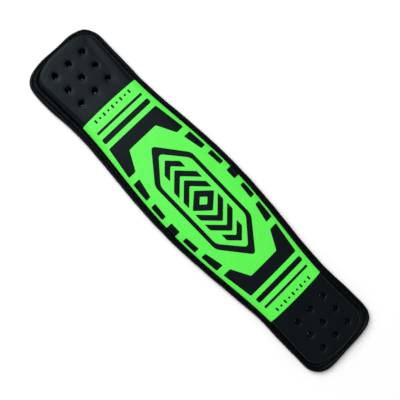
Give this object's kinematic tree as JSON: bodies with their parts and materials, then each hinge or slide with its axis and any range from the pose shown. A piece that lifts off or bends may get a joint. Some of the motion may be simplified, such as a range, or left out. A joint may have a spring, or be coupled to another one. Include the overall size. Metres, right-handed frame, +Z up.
{
  "type": "footstrap",
  "caption": "Padded board footstrap laid flat: wider in the middle, with a printed cover, a bound edge and a grid of screw holes at each end.",
  "frame": {"origin": "on the face the strap lies on, under the centre of its outline", "axes": "+X along the strap, +Y across it, +Z up through its layers to the printed face"},
  "size_m": [0.295, 0.0714, 0.0098],
  "materials": {
    "knit_neoprene": "knit",
    "foam": "closed-cell foam",
    "nylon_plate": "moulded",
    "spring_sheet": "smooth",
    "webbing": "woven",
    "coated_fabric": "satin coated",
    "binding_tape": "knit",
    "thread": "twisted",
    "printed_film": "satin"
  },
  "bodies": {
    "root": {"lining": "knit_neoprene", "comfort_foam": "foam", "end_plate_left": "nylon_plate", "end_plate_right": "nylon_plate", "arch_stiffener": "spring_sheet", "load_webbing": "webbing", "top_foam": "foam", "top_skin": "coated_fabric", "edge_binding": "binding_tape", "binding_seam": "thread", "print_field": "printed_film", "print_emblem": "printed_film"}
  },
  "joints": []
}
